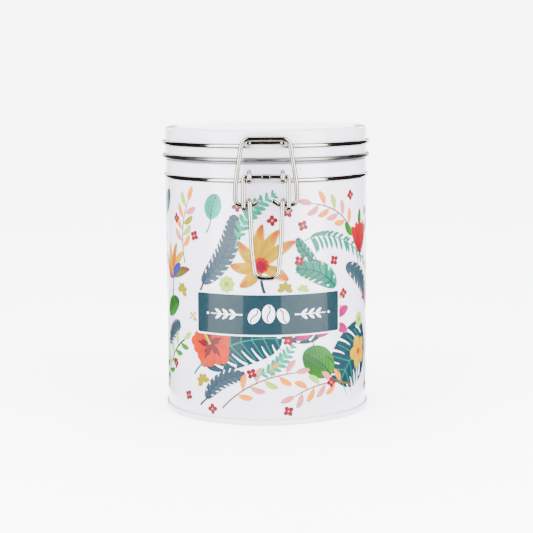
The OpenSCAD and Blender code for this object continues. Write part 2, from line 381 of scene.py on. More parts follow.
def closed_mesh(name, points, faces, crease=math.radians(38)):
    """A smooth mesh of points in millimetres, with its poles merged and its faces turned out."""
    mesh = plain_mesh(name, points, faces)
    work = bmesh.new()
    work.from_mesh(mesh)
    bmesh.ops.remove_doubles(work, verts=work.verts, dist=1e-7)
    bmesh.ops.holes_fill(work, edges=[e for e in work.edges if e.is_boundary], sides=0)
    bmesh.ops.recalc_face_normals(work, faces=work.faces)
    work.to_mesh(mesh)
    work.free()
    mesh.shade_smooth()
    mesh.set_sharp_from_angle(angle=crease)
    return mesh


def arc(centre, radius, start, end, count=14):
    """Points (r, z) on a circle about centre, from one angle to another in degrees."""
    turn = np.radians(np.linspace(start, end, count))
    return np.stack([centre[0] + radius * np.cos(turn), centre[1] + radius * np.sin(turn)], axis=1)


def turned(outline, segments, closed):
    """Points and faces of an outline of (r, z) points turned once about the axis."""
    turn = np.linspace(0, 2 * math.pi, segments, endpoint=False)[:, None]
    points = round_axis(outline[None, :, 0], outline[None, :, 1], turn)
    return points, grid_faces(segments, len(outline), True, closed)


def lathe(name, outline, segments=360, closed=True):
    """A closed mesh of a turned outline. An open outline starts and ends on the axis."""
    return closed_mesh(name, *turned(outline, segments, closed))


def groove_angle(offset, radius):
    """Angle, in degrees, at which a groove's circle meets a wall that far from its centre."""
    return math.degrees(math.acos(offset / radius))


def bend_stations(start, along, inward, radius, angle, gap=5.0):
    """Stations on a bend: start + radius (along sin t + inward (1 - cos t)), t up to the angle."""
    turn = np.linspace(0, angle, max(3, int(math.degrees(angle) / gap) + 1))[:, None]
    return start + radius * (along * np.sin(turn) + inward * (1 - np.cos(turn)))


def unit(vector):
    """The vector at length 1."""
    return vector / np.linalg.norm(vector)


def bent_stations(corners, radii):
    """Stations on straight lengths between corners, with each corner rounded to its radius."""
    corners = [np.array(corner, float) for corner in corners]
    stations = [corners[0][None]]
    for before, corner, after, radius in zip(corners, corners[1:], corners[2:], radii):
        arriving, leaving = unit(corner - before), unit(after - corner)
        angle = math.acos(np.clip(arriving @ leaving, -1, 1))
        start = corner - arriving * radius * math.tan(angle / 2)
        inward = unit(leaving - (arriving @ leaving) * arriving)
        stations.append(bend_stations(start, arriving, inward, radius, angle))
    stations.append(corners[-1][None])
    return np.concatenate(stations)


def both_sides(right, *middle):
    """Stations, any between, then the first ones across the middle plane in the other order."""
    return np.concatenate([right, *middle, right[::-1] * ACROSS])


def swept_wire(name, stations, radius, sides=28, round_end=0.35):
    """Carries a circle along the stations: point = station + radius (side cos b + up sin b), where
    side and up turn no more than the path does. Both ends are rounded over."""
    gaps = np.linalg.norm(np.diff(stations, axis=0), axis=1)
    stations = stations[np.concatenate([[True], gaps > 1e-4])]
    tangents = np.gradient(stations, axis=0)
    tangents /= np.linalg.norm(tangents, axis=1)[:, None]
    side = unit(np.cross(tangents[0], (0.31, 0.47, 0.82)))
    across = np.empty_like(stations)
    for i, tangent in enumerate(tangents):
        side = unit(side - (side @ tangent) * tangent)
        across[i] = side
    up = np.cross(tangents, across)
    ease = np.radians([90, 60, 30])[:, None]
    head = stations[0] - tangents[0] * round_end * np.sin(ease)
    tail = stations[-1] + tangents[-1] * round_end * np.sin(ease[::-1])
    slim = 1 - (1 - np.cos(ease[:, 0])) * round_end / radius
    slim[0] = 0.0
    scale = np.concatenate([slim, np.ones(len(stations)), slim[::-1]])
    stations = np.concatenate([head, stations, tail])
    across, up = (np.pad(axis, ((3, 3), (0, 0)), "edge") for axis in (across, up))
    turn = np.linspace(0, 2 * math.pi, sides, endpoint=False)[None, :, None]
    ring = across[:, None] * np.cos(turn) + up[:, None] * np.sin(turn)
    points = stations[:, None] + radius * scale[:, None, None] * ring
    return closed_mesh(name, points, grid_faces(len(stations), sides, False, True))


def ring_stations(radius, z, start, end, gap=1.0):
    """Stations round the tin between two angles from the front, in radians."""
    return round_axis(radius, z, np.linspace(start, end, int(abs(end - start) * radius / gap) + 2))


def leaving(radius, z, x, side):
    """Where a ring is left for a straight length at x: the angle on the ring, the point there and
    the corner that the bend is rounded from."""
    angle = math.asin((x + BEND_R) / radius)
    point = np.array([radius * math.sin(angle), side * radius * math.cos(angle), z])
    corner = np.array([x, point[1] + side * (point[0] - x) * math.tan(angle), z])
    return angle, point, corner


def body_outline():
    """Outline of the wall's section: up the outside past the groove, over the shoulder and the
    lip, and down the inside."""
    shoulder = RIM_Z - RIM_R - SHOULDER_GAP
    lip = node_box("body_wall")[1][2] - LIP_R
    neck = TIN_R - NECK_STEP
    round_at = (TIN_R - SHOULDER_ROUND, shoulder - SHOULDER_ROUND)
    ring = (BODY_RING_R, BODY_RING_Z)
    outer = groove_angle(TIN_R - BODY_RING_R, GROOVE_R)
    inner = groove_angle(TIN_R - SHEET - BODY_RING_R, GROOVE_R + SHEET)
    lip_at = (neck - SHEET / 2 - LIP_IN, lip)
    return np.concatenate([
        [(TIN_R, SEAM_ROUND)],
        arc(ring, GROOVE_R, -outer, outer - 360, 24),
        arc(round_at, SHOULDER_ROUND, 0, 90),
        [(neck, shoulder)],
        arc(lip_at, LIP_R, *LIP_CURL, 30),
        [(neck - SHEET, shoulder - SHEET)],
        arc(round_at, SHOULDER_ROUND - SHEET, 90, 0),
        arc(ring, GROOVE_R + SHEET, inner, 360 - inner, 24),
        [(TIN_R - SHEET, SEAM_ROUND)],
    ])


def base_outline():
    """Outline of the base from the axis: the raised floor, the rolled seam and the underside."""
    outer, _, wall_top = node_box("base_plate")[1]
    inner, edge, corner = TIN_R - SHEET - SEAM_WIDTH, TIN_R - SHEET - 0.01, SEAM_ROUND
    top, rise, fall = SEAM_TOP, FLOOR_RISE, FLOOR_RISE - FLOOR_ROUND
    fillet = inner - 4 * FLOOR_CORNER
    return np.concatenate([
        [(0, rise + SHEET), (fillet, rise + SHEET)],
        arc((fillet, rise + SHEET + FLOOR_CORNER), FLOOR_CORNER, -90, 0, 4),
        [(inner, wall_top), (edge, wall_top), (edge, corner + 0.05), (TIN_R + 0.01, corner + 0.05),
         (TIN_R + 0.03, top - 0.8), (TIN_R + 0.32, top - 0.1), (TIN_R + 0.45, top)],
        arc((outer - corner, top - corner), corner, 90, 0, 8),
        arc((outer - corner, corner), corner, 0, -90, 8),
        arc((inner + corner, corner), corner, 270, 180, 8),
        [(inner, fall)],
        arc((inner - FLOOR_ROUND, fall), FLOOR_ROUND, 0, 90, 6),
        [(0, rise)],
    ])


def lid_outline():
    """Outline of the lid from the axis: the flat top, the rounded corner, the skirt with the
    wire's groove, and back up the inside."""
    corner_at = (LID_OUTER_R - LID_CORNER, TOP_Z - LID_CORNER)
    ring = (LID_RING_R, LID_RING_Z)
    outer = groove_angle(LID_OUTER_R - LID_RING_R, GROOVE_R)
    inner = groove_angle(LID_OUTER_R - SHEET - LID_RING_R, GROOVE_R + SHEET)
    return np.concatenate([
        [(0, TOP_Z)],
        arc(corner_at, LID_CORNER, 90, 0, 20),
        arc(ring, GROOVE_R, outer, 360 - outer, 20),
        [(LID_OUTER_R, RIM_Z), (LID_OUTER_R - SHEET, RIM_Z)],
        arc(ring, GROOVE_R + SHEET, 360 - inner, inner, 20),
        arc(corner_at, LID_CORNER - SHEET, 0, 90, 14),
        [(0, TOP_Z - SHEET)],
    ])


# ---- Wires ------------------------------------------------------------------------------------


def body_wire_stations():
    """Front eyelets and the ring in the body's groove, as one wire."""
    angle, point, corner = leaving(BODY_RING_R, BODY_RING_Z, EYE_X, -1)
    eye = np.array([EYE_X, PIVOT_AT[1], BODY_RING_Z])
    out, up = np.array([0, -1.0, 0]), np.array([0, 0, 1.0])
    loop = bend_stations(eye, out, up, EYE_R, EYE_TURN)[::-1]
    arm = bent_stations([eye, corner, point], [BEND_R])
    right = np.concatenate([loop, arm[1:]])
    ring = ring_stations(BODY_RING_R, BODY_RING_Z, angle, 2 * math.pi - angle)[1:-1]
    return both_sides(right, ring)


def hinge_wire_stations():
    """The hinge bar and its two legs, down to the body's ring."""
    reach = math.sqrt(BODY_RING_R ** 2 - HINGE_HALF ** 2)
    weld = (HINGE_HALF, reach, BODY_RING_Z)
    foot = (HINGE_HALF, HINGE_AT[1] - HINGE_LEAN, BODY_RING_Z)
    top = (HINGE_HALF, HINGE_AT[1], HINGE_AT[2])
    corners = both_sides(np.array([weld, foot, top]))
    return bent_stations(corners, [2 * BEND_R, BEND_R, BEND_R, 2 * BEND_R])


def lid_wire_stations():
    """Hinge eyelets, the ring in the lid's groove and the raised catch bar, as one wire."""
    low, high = node_box("lid_wire")
    rear_angle, rear_point, rear_corner = leaving(LID_RING_R, LID_RING_Z, HINGE_EYE_X, 1)
    front_angle, front_point, front_corner = leaving(LID_RING_R, LID_RING_Z, CATCH_X, -1)
    eye, eye_top = (np.array([HINGE_EYE_X, HINGE_AT[1] + EYE_R, z])
                    for z in (HINGE_AT[2], LID_RING_Z))
    down, inward = np.array([0, 0, -1.0]), np.array([0, -1.0, 0])
    loop = bend_stations(eye, down, inward, EYE_R, EYE_TURN)[::-1]
    arm = bent_stations([eye, eye_top, rear_corner, rear_point], [2 * BEND_R, BEND_R])
    ring = ring_stations(LID_RING_R, LID_RING_Z, math.pi - rear_angle, front_angle)[1:-1]
    catch = (CATCH_X, low[1] + WIRE_R, high[2] - WIRE_R)
    nose = bent_stations(both_sides(np.array([front_point, front_corner, catch])), [BEND_R] * 4)
    return both_sides(np.concatenate([loop, arm[1:], ring]), nose)


def lever_stations():
    """The lever as one wire: the pivot bar, the legs, one open turn of coil on each side and the
    handle. In the coil x moves smoothly from the leg's line to the handle's as it goes round."""
    low = node_box("lever_handle")[0]
    pivot_y, coil_z = PIVOT_AT[1], COIL_AT[2]
    bar = bent_stations([(0, pivot_y, PIVOT_AT[2]), (LEG_X, pivot_y, PIVOT_AT[2]),
                         (LEG_X, pivot_y, coil_z)], [BEND_R])
    share = np.linspace(0, 1, 90)
    turn = 2 * math.pi * share
    x = LEG_X + (COIL_X - LEG_X) * share * share * (3 - 2 * share)
    coil = np.stack([x, COIL_AT[1] - EYE_R * np.cos(turn), coil_z - EYE_R * np.sin(turn)], axis=1)
    end = np.array([FINGER_HALF, low[1] + WIRE_R, low[2] + WIRE_R])
    handle = bent_stations([(COIL_X, pivot_y, coil_z), (HANDLE_HALF, pivot_y, coil_z - HANDLE_DROP),
                            end, end * [0, 1, 1]], HANDLE_BENDS)
    right = np.concatenate([bar, coil[1:], handle[1:]])
    return np.concatenate([right[::-1] * ACROSS, right[1:]])


def bail_stations():
    """The bail: a top bar, sides that swell out, and feet that turn in through the coils."""
    low, high = node_box("bail")
    foot = COIL_AT * [0, 1, 1]
    top = np.array([0, low[1] + WIRE_R, high[2] - WIRE_R])
    up, side = unit(top - foot), np.array([1.0, 0, 0])
    half = high[0] - WIRE_R
    right = np.array([foot + side * BAIL_TIP_X + up * BAIL_TIP_UP, foot + side * BAIL_FOOT_X,
                      foot + side * (half + BAIL_FLARE),
                      foot + side * (half + BAIL_SWELL) + up * BAIL_SWELL_UP,
                      top + side * BAIL_TOP_X])
    return bent_stations(both_sides(right), BAIL_BENDS + BAIL_BENDS[::-1])


# ---- Operators for the tin --------------------------------------------------------------------


class TIN_OT_enamel(bpy.types.Operator):
    """Turn the enamelled wall, base and lid"""

    bl_idname = "tin.enamel"
    bl_label = "Enamelled wall, base and lid"

    def execute(self, context):
        colours = context.scene.tin_colours
        white = enamel_material("stoved_enamel", colours.enamel)
        top = enamel_material("lid_enamel", colours.lid)
        for name, outline, closed, finish, body, node in (
                ("tin_wall", body_outline, True, white, "tin", "body_wall"),
                ("tin_base", base_outline, False, white, "tin", "base_plate"),
                ("lid_cap", lid_outline, False, top, "lid", "lid_shell")):
            add_piece(name, lathe(name, outline(), closed=closed), finish, body, [node])
        return {"FINISHED"}


class TIN_OT_rim_and_seal(bpy.types.Operator):
    """Turn the lid's bare rolled rim and the seal under its top"""

    bl_idname = "tin.rim_and_seal"
    bl_label = "Rolled rim and seal"

    def execute(self, context):
        bead = arc((node_box("lid_rim")[1][0] - RIM_R, RIM_Z), RIM_R, *RIM_CURL, 24)
        add_piece("rolled_rim", lathe("rolled_rim", bead),
                  rim_material("bare_tinplate", context.scene.tin_colours.rim), "lid",
                  ["lid_rim"])
        (_, _, low), (outer, _, high) = node_box("lid_gasket")
        inside, outside = outer - SEAL_WIDTH + SEAL_ROUND, outer - SEAL_ROUND
        corners = ((inside, low + SEAL_ROUND), (outside, low + SEAL_ROUND),
                   (outside, high - SEAL_ROUND), (inside, high - SEAL_ROUND))
        seal = np.concatenate([arc(corner, SEAL_ROUND, start, start + 90, 6)
                               for corner, start in zip(corners, (180, 270, 0, 90))])
        add_piece("lid_seal", lathe("lid_seal", seal), seal_material("silicone"), "lid",
                  ["lid_gasket"])
        return {"FINISHED"}


class TIN_OT_wires(bpy.types.Operator):
    """Bend the hinge and closure wires"""

    bl_idname = "tin.wires"
    bl_label = "Hinge and closure wires"

    def execute(self, context):
        steel = wire_material("polished_wire", context.scene.tin_colours.wire)
        radius = context.scene.tin_wire.radius / MM
        wires = (
            ("body_ring_wire", body_wire_stations, "tin", ["body_wire"]),
            ("hinge_bar_wire", hinge_wire_stations, "tin", ["hinge_wire"]),
            ("lid_ring_wire", lid_wire_stations, "lid", ["lid_wire"]),
            ("lever_wire", lever_stations, "lever", ["lever_yoke", "lever_handle"]),
            ("bail_wire", bail_stations, "bail", ["bail"]),
        )
        for name, stations, body, nodes in wires:
            mesh = swept_wire(name, stations(), radius, context.scene.tin_wire.sides)
            add_piece(name, mesh, steel, body, nodes)
        centre = PIVOT_AT * [0, 1, 1]
        reach = np.array([FERRULE_HALF - FERRULE_WALL, 0, 0])
        tube = swept_wire("pivot_ferrule", np.array([centre - reach, centre + reach]),
                          WIRE_R + FERRULE_WALL, 40, FERRULE_WALL)
        add_piece("pivot_ferrule", tube, steel, "lever", ["lever_ferrule"])
        return {"FINISHED"}


# ---- Print ------------------------------------------------------------------------------------

# Reflectance of each ink, as linear light under bright lamps
INKS = {
    "deep_teal": (0.007, 0.026, 0.038), "slate": (0.023, 0.042, 0.060),
    "slate_dark": (0.014, 0.027, 0.041), "mint": (0.0, 0.24, 0.15), "aqua": (0.0, 0.115, 0.070),
    "peach": (0.55, 0.14, 0.0), "pink_dust": (0.40, 0.12, 0.12), "olive_pale": (0.20, 0.34, 0.035),
    "tan": (0.115, 0.048, 0.010), "crimson": (0.13, 0.0, 0.016), "yellow": (0.30, 0.22, 0.0),
    "olive": (0.17, 0.14, 0.0), "coral": (0.34, 0.022, 0.0), "maroon": (0.068, 0.006, 0.008),
    "orange": (0.32, 0.125, 0.0), "red": (0.26, 0.006, 0.0), "green": (0.020, 0.13, 0.008),
    "green_deep": (0.008, 0.062, 0.009), "vein": (0.008, 0.028, 0.018),
    "magenta": (0.14, 0.0, 0.048), "pink": (0.28, 0.0, 0.095), "violet": (0.019, 0.019, 0.17),
    "white": (0.625, 0.595, 0.715),
}
INK_DEPTH = 0.68

# Heights on the wall, in millimetres: the lowest ink, what each shape in a layer adds, how many
# shapes a layer steps through, and how far every shape goes down into the wall
INK_LOW, INK_STEP, INK_STEPS, INK_ROOT = 0.02, 0.0014, 12, -0.05


def tint(name):
    """Reflectance of a named ink, deepened for the brightness of the studio's light."""
    return INK_DEPTH * np.array(INKS[name])


class Plate:
    """Printed shapes in millimetres on the unrolled wall: s round the tin, z up. Each is a closed
    thin strip, which is rolled onto the wall when the plate is made into a mesh."""

    def __init__(self):
        self.places, self.tints, self.marks, self.faces = [], [], [], []
        self.count = self.shapes = self.lift = 0
        self.shift = 0.0
        self.ink = bpy.context.scene.tin_print.ink / MM

    def strip(self, path, half, root, tip, layer, shade_side=1.0):
        """A strip about a path: point (i, j) = path + across half v, with v from -1 to 1. Its
        colour goes from root to tip along the path, times shade_side where v is above 0."""
        rows = len(path)
        columns = int(np.clip(2 * half.max() / 1.25 + 2, 2, 17))
        columns += 1 - columns % 2 if columns > 2 else 0
        along = np.gradient(path, axis=0)
        along /= np.linalg.norm(along, axis=1)[:, None] + 1e-12
        across = np.stack([-along[:, 1], along[:, 0]], axis=1)
        v = np.linspace(-1, 1, columns)
        flat = path[:, None] + across[:, None] * (half[:, None] * v)[..., None]
        top = INK_LOW + self.ink * (layer + self.lift) + INK_STEP * (self.shapes % INK_STEPS)
        upper, under = (np.concatenate([flat, np.full((rows, columns, 1), height)], axis=2)
                        for height in (top, INK_ROOT))
        places = np.concatenate([upper, under[:, ::-1]], axis=1)
        u = np.linspace(0, 1, rows)[:, None, None]
        colour = root * (1 - u) + tip * u
        colour = colour * np.where(v > 0.01, shade_side, 1.0)[None, :, None]
        colour = np.concatenate([colour, colour[:, ::-1]], axis=1)
        length = np.linalg.norm(np.diff(path, axis=0), axis=1).sum()
        mark = np.stack(np.broadcast_arrays(0.1 * length * u[..., 0] + 0.37 * self.shapes,
                                            np.concatenate([v, v[::-1]])[None] * 0.5), axis=-1)
        loop = 2 * columns
        j = np.arange(columns - 1)
        start = np.stack([j, j + 1, loop - 2 - j, loop - 1 - j], axis=1)
        end = start[:, ::-1] + (rows - 1) * loop
        places[..., 0] += self.shift
        self.faces.append(np.concatenate([grid_faces(rows, loop, False, True), start, end])
                          + self.count)
        self.places.append(places.reshape(-1, 3))
        self.tints.append(colour.reshape(-1, 3))
        self.marks.append(mark.reshape(-1, 2))
        self.count += rows * loop
        self.shapes += 1

    def mesh(self, name):
        """Rolls the shapes onto the wall: turn = s / R and r = R + height."""
        s, z, height = np.concatenate(self.places).T
        mesh = plain_mesh(name, round_axis(TIN_R + height, z, s / TIN_R),
                          np.concatenate(self.faces))
        colours = np.concatenate(self.tints)
        layer = mesh.color_attributes.new("ink", "FLOAT_COLOR", "POINT")
        layer.data.foreach_set("color", np.column_stack([colours, np.ones(len(colours))]).ravel())
        corners = np.empty(len(mesh.loops), int)
        mesh.loops.foreach_get("vertex_index", corners)
        uv = mesh.uv_layers.new(name="print")
        uv.data.foreach_set("uv", np.concatenate(self.marks)[corners].ravel())
        mesh.shade_smooth()
        mesh.set_sharp_from_angle(angle=math.radians(35))
        return mesh


def bowed(start, end, bow, count):
    """Points from start to end that bow sideways by a share of the length: a parabola."""
    start, end = np.array(start, float), np.array(end, float)
    share = (1 - np.cos(np.pi * np.linspace(0, 1, count)))[:, None] / 2
    along = end - start
    side = np.array([-along[1], along[0]])
    return start + along * share + side * bow * 4 * share * (1 - share)


def stations_for(start, end):
    """How many stations a shape of that length needs."""
    return int(np.clip(math.dist(start, end) / 1.1 + 3, 5, 34))


def stem(plate, start, end, width, ink, bow=0.0, layer=1):
    """A thin line that tapers to about half its width."""
    count = stations_for(start, end)
    half = 0.75 * width * np.linspace(1, 0.55, count)
    plate.strip(bowed(start, end, bow, count), half, tint(ink), tint(ink), layer)


def leaf(plate, start, end, width, root, tip=None, bow=0.0, layer=2, point=1.6, side=1.0):
    """A leaf or petal: half its width = sine of its length's share to a power. Power 1 gives an
    oval and power 2 a point at both ends."""
    count = stations_for(start, end)
    half = width / 2 * np.sin(np.pi * np.linspace(0, 1, count)) ** point + 0.02
    plate.strip(bowed(start, end, bow, count), half, tint(root), tint(tip or root), layer, side)


def dot(plate, centre, radius, ink, layer):
    """An oval as wide as it is long."""
    s, z = centre
    leaf(plate, (s, z - radius), (s, z + radius), 2 * radius, ink, layer=layer, point=1.0)


def pairs_along(start, end, bow, count, first=0.16, last=0.96):
    """Places along a bowed stem, the stem's direction there and their shares of its length."""
    path = bowed(start, end, bow, 60)
    run = (1 - np.cos(np.pi * np.linspace(0, 1, 60))) / 2
    share = np.linspace(first, last, count)
    places, ahead = (np.stack([np.interp(part, run, axis) for axis in path.T], axis=1)
                     for part in (share, share + 0.02))
    angle = np.arctan2(*(ahead - places).T[::-1])
    angle[-1] = angle[-2]
    return places, angle, share


def away(place, angle, length):
    """A place that lies a length away at an angle."""
    return np.array(place) + length * np.array([math.cos(angle), math.sin(angle)])


def feather(plate, start, end, width, bow, pairs, slim=0.4, layer=1):
    """A stem with pairs of slim leaflets, longest at its middle."""
    stem(plate, start, end, 0.5, "mint", bow, layer)
    places, angles, shares = pairs_along(start, end, bow, pairs)
    for place, angle, share in zip(places, angles, shares):
        length = width / 2 * (0.45 + 0.75 * math.sin(math.pi * min(share, 0.92)) ** 0.8)
        for side in (-1, 1):
            leaf(plate, place, away(place, angle + side * 0.85, length), slim * length, "mint",
                 "aqua", -0.08 * side, layer, 1.2)
    leaf(plate, places[-1], away(places[-1], angles[-1], 0.3 * width), 0.1 * width, "mint", "aqua",
         0, layer, 1.2)


# Inks of a cut leaf and its veins
DUSK, DEPTH, POOL = ("slate", "slate_dark"), ("deep_teal", "aqua"), ("aqua", "deep_teal")


def cut_leaf(plate, start, end, width, inks, bow, cuts, depth=0.34, gap=0.42, point=0.8,
             lean=0.95):
    """A broad leaf whose edge is cut by wedges of bare white that open outwards, with a vein
    between each two. Its outline is leaf's, and a wedge's width grows evenly to the edge."""
    ink, vein = inks
    leaf(plate, start, end, width, ink, None, bow, 1, point, 0.82)
    stem(plate, start, end, 0.55, vein, bow, 3)
    places, angles, shares = pairs_along(start, end, bow, 2 * cuts, 0.08, 0.93)
    for number, (place, angle, share) in enumerate(zip(places, angles, shares)):
        run = math.acos(1 - 2 * share) / math.pi
        edge = width / 2 * math.sin(math.pi * run) ** point / math.sin(lean)
        for side in (-1, 1):
            heading = angle + side * lean
            if number % 2:
                stem(plate, place, away(place, heading, 0.86 * edge), 0.42, vein, 0, 3)
            else:
                inner = away(place, heading, (1 - depth) * edge)
                path = bowed(inner, away(place, heading - 0.06 * side, 1.08 * edge), 0.05 * side, 9)
                plate.strip(path, np.linspace(0.1, gap, 9), tint("white"), tint("white"), 2)


# Inks of a sprig's leaves, which take turns
MEADOW, HEDGE = ("peach", "peach", "pink_dust", "pink_dust", "olive_pale"), ("green", "olive_pale")


def sprig(plate, start, end, inks, size, pairs, bow, stem_ink="tan"):
    """A stem with alternating round leaves on short stalks, and the last leaf straight ahead."""
    stem(plate, start, end, 0.62, stem_ink, bow, 1)
    places, angles, _ = pairs_along(start, end, bow, pairs, 0.25, 1.0)
    for number, (place, angle) in enumerate(zip(places, angles)):
        side = 0 if number == pairs - 1 else 1 if number % 2 else -1
        foot = away(place, angle + side * 0.9, 0.2 * size)
        head = away(place, angle + side * 0.81, 1.75 * size)
        stem(plate, place, foot, 0.35, stem_ink, 0, 1)
        leaf(plate, foot, head, 0.62 * size, inks[number % len(inks)], None, 0.08 * side, 2, 1.25,
             0.9)


def flower(plate, centre, radius, count, width, root, tip, turn, layer=3, point=1.1,
           middle="maroon", eye=0.2, side=0.9):
    """Petals round a centre, with an eye in the middle."""
    for angle in turn + 2 * math.pi * np.arange(count) / count:
        leaf(plate, away(centre, angle, 0.08 * radius), away(centre, angle, radius), width, root,
             tip, 0.06, layer, point, side)
    dot(plate, centre, eye * radius, middle, layer + 1)


def veined(plate, start, end, width, light, dark, bow, veins, vein="vein"):
    """A two-tone leaf with a midrib and side veins."""
    leaf(plate, start, end, width, light, dark, bow, 2, 1.15, 0.72)
    stem(plate, start, end, 0.45, vein, bow, 3)
    for place, angle, share in zip(*pairs_along(start, end, bow, veins, 0.14, 0.8)):
        length = 0.44 * width * math.sin(math.pi * (0.15 + 0.8 * share)) ** 0.8
        for side in (-1, 1):
            stem(plate, place, away(place, angle + side * 0.75, length), 0.28, vein, 0, 3)


def arch_fern(plate, points, ink, length, count):
    """A stem through three points, bent as a quadratic curve, with leaflets that hang from it."""
    a, b, c = np.array(points, float)
    mid = 2 * b - (a + c) / 2
    share = np.linspace(0, 1, 30)[:, None]
    path = (1 - share) ** 2 * a + 2 * share * (1 - share) * mid + share ** 2 * c
    plate.strip(path, np.full(30, 0.28), tint(ink), tint(ink), 1)
    for number in range(count):
        place = path[3 + int(26 * number / count)]
        reach = length * (1 - 0.45 * number / count)
        for angle, part in ((-1.15, 1), (0.35, 0.6)):
            leaf(plate, place, away(place, angle, reach * part), 1.7, ink, None, 0.08, 1, 1.2)


def small_leaf(plate, centre, radius, ink, angle):
    """A little palmate leaf of five points."""
    for turn in np.radians([-100, -50, 0, 50, 100]):
        leaf(plate, centre, away(centre, angle + turn, radius), 0.62 * radius, ink, None, 0, 2, 1.3,
             0.88)


def foliage(plate):
    """Leaves, feathers, ferns and sprigs of one repeat of the pattern. The cut leaves come first,
    so that their bare wedges lie under all the rest."""
    for values in (((-36, 73), (-16.5, 109), 11.5, DUSK, -0.12, 11),
                   ((-34, 12), (-11, 26), 8.5, DUSK, 0.14, 8),
                   ((47, 80), (78, 54), 11, DUSK, 0.1, 8),
                   ((-70, 36), (-54, 49), 9, DUSK, 0.1, 6),
                   ((39, 70), (15, 81), 12, POOL, -0.12, 6, 0.3, 0.5, 1.0),
                   ((27, 84), (16, 97), 6.5, POOL, 0.1, 5, 0.25, 0.3, 1.1),
                   ((-35, 30), (8, 45), 25, DEPTH, 0.12, 7, 0.66, 0.8, 0.75, 1.15),
                   ((70, 40), (42, 18), 32, DEPTH, -0.1, 6, 0.6, 0.9, 0.7, 1.1),
                   ((30, 48), (0, 60), 17, DEPTH, 0.08, 7, 0.6, 0.8, 0.85),
                   ((82, 88), (91, 116), 10, DUSK, -0.1, 8),
                   ((82, 30), (90, 50), 13, DEPTH, 0.1, 6, 0.6, 0.8, 0.85)):
        cut_leaf(plate, *values)
    plate.lift = 3
    for shape, *values in (
            (sprig, (84, 54), (89, 84), ("peach", "pink_dust"), 5.0, 7, 0.1),
            (sprig, (80, 8), (93, 27), HEDGE, 4.6, 6, -0.1, "green_deep"),
            (stem, (-37.5, 68), (-34, 78), 0.9, "slate_dark", -0.05, 3),
            (stem, (-38, 8), (-31, 13.5), 0.8, "slate_dark", 0.05, 3),
            (veined, (-30, 106), (-26, 119), 10, "mint", "mint", 0.05, 5, "slate"),
            (stem, (-33, 99), (-30, 108), 0.5, "slate", -0.1, 1),
            (sprig, (-49, 82), (-46, 114), ("peach", "pink_dust", "olive_pale", "peach", "olive"),
             5.2, 9, 0.1),
            (feather, (-16, 92), (4, 119), 10, 0.12, 9, 0.42),
            (sprig, (55, 94), (25, 114), MEADOW, 5.0, 9, -0.12),
            (arch_fern, ((20, 95), (42, 95), (79, 74)), "aqua", 9.0, 14),
            (leaf, (-75, 106), (-66, 119), 9, "aqua", "deep_teal", 0.06, 2, 1.2, 0.85),
            (small_leaf, (-52, 67), 4.6, "olive", 1.2),
            (small_leaf, (9.5, 70.6), 4.2, "olive", 1.5),
            (small_leaf, (19, 69.5), 3.6, "olive_pale", 0.9),
            (small_leaf, (-36, 21), 4.4, "olive", 2.1),
            (flower, (-21, 73), 4.5, 8, 3.2, "olive_pale", "olive_pale", 0, 2, 1.0, "olive", 0.3),
            (flower, (61, 50), 4.2, 8, 3.0, "olive_pale", "olive_pale", 0, 3, 1.0, "olive", 0.3),
            (veined, (-70, 52), (-55, 61), 10, "green", "green_deep", 0.08, 5),
            (stem, (-74, 12), (-50, 41), 0.6, "green_deep", 0.1, 1),
            (sprig, (-73, 13), (-51, 41), HEDGE, 4.6, 8, 0.1, "green_deep"),
            (stem, (-42, 24), (-30, 33), 0.8, "aqua", 0.1, 3),
            (feather, (-7, 25), (13, 41), 9, -0.1, 8, 0.4, 2),
            (veined, (36, 24), (19, 37), 16.5, "green", "green_deep", -0.06, 7),
            (stem, (33, 34), (41, 24), 0.5, "vein", 0.1, 2),
            (sprig, (-24, 8), (14, 27), MEADOW, 5.0, 9, 0.1),
            (sprig, (52, 16), (15, 15), MEADOW, 5.0, 9, -0.12),
            (feather, (-40, 50), (-12, 64), 9, 0.1, 8),
            (sprig, (6, 50), (40, 63), ("peach", "olive_pale"), 4.6, 8, -0.08)):
        shape(plate, *values)


